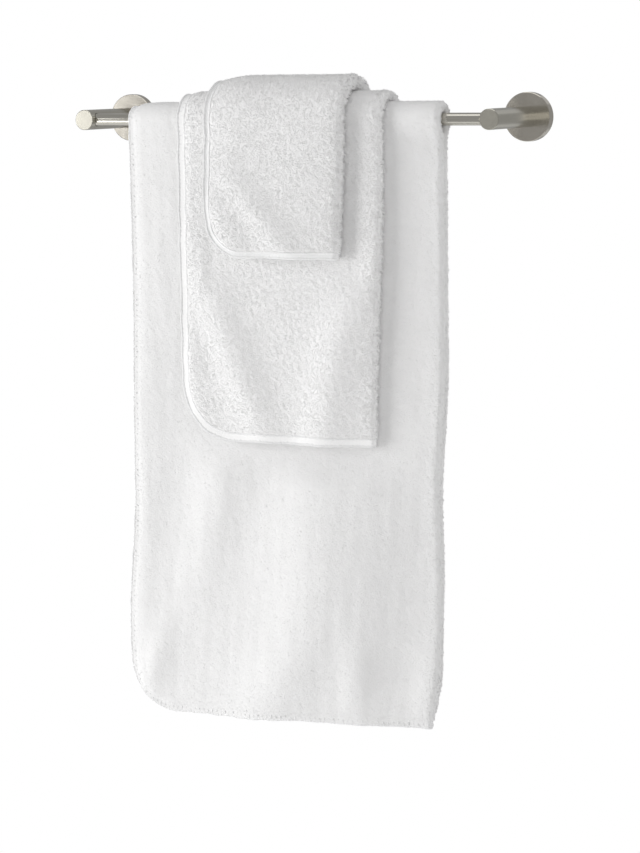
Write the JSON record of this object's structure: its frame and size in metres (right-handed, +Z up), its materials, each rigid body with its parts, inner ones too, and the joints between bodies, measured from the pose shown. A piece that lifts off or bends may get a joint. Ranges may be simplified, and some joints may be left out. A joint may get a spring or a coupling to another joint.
{
  "type": "bath towel set",
  "caption": "Bath towel, hand towel and wash cloth in plush terry, each folded lengthwise and hung one over the other on a round wall-mounted towel bar.",
  "frame": {"origin": "on the wall plane, at the centre of the four bracket screw holes, level with the bar", "axes": "+X along the bar to the right as seen from the room, +Z up, +Y into the wall, so the set stands out towards -Y"},
  "size_m": [0.5072, 0.1459, 0.6659],
  "materials": {
    "brushed_nickel": "satin brushed nickel",
    "bar_nickel": "polished nickel tube",
    "zinc_plate": "zinc plated steel",
    "bush_nylon": "natural nylon",
    "bath_terry": "white combed cotton terry, short loops",
    "hand_terry": "white combed cotton terry, long loops",
    "wash_terry": "white combed cotton terry, long loops",
    "edging": "white flat-woven cotton hem with overlock stitches"
  },
  "bodies": {
    "wall_set": {"left_wall_bracket": "zinc_plate", "left_flange": "brushed_nickel", "left_post": "brushed_nickel", "left_post_screw": "zinc_plate", "left_set_screw": "zinc_plate", "left_bar_bush": "bush_nylon", "right_wall_bracket": "zinc_plate", "right_flange": "brushed_nickel", "right_post": "brushed_nickel", "right_post_screw": "zinc_plate", "right_set_screw": "zinc_plate", "right_bar_bush": "bush_nylon"},
    "bar": {"bar": "bar_nickel"},
    "bath_towel": {"bath_towel": "bath_terry", "bath_towel_edging": "edging"},
    "hand_towel": {"hand_towel": "hand_terry", "hand_towel_edging": "edging"},
    "wash_cloth": {"wash_cloth": "wash_terry", "wash_cloth_edging": "edging"}
  },
  "joints": [
    {"name": "bar_spin", "type": "hinge", "parent": "wall_set", "child": "bar", "pos_m": [0, -0.1, 0], "axis": [1, 0, 0], "continuous": true},
    {"name": "bath_towel_lift", "type": "slide", "parent": "wall_set", "child": "bath_towel", "axis": [0, 0, 1], "range_m": [0, 0.645]},
    {"name": "hand_towel_lift", "type": "slide", "parent": "bath_towel", "child": "hand_towel", "axis": [0, 0, 1], "range_m": [0, 0.37]},
    {"name": "wash_cloth_lift", "type": "slide", "parent": "hand_towel", "child": "wash_cloth", "axis": [0, 0, 1], "range_m": [0, 0.19]}
  ]
}
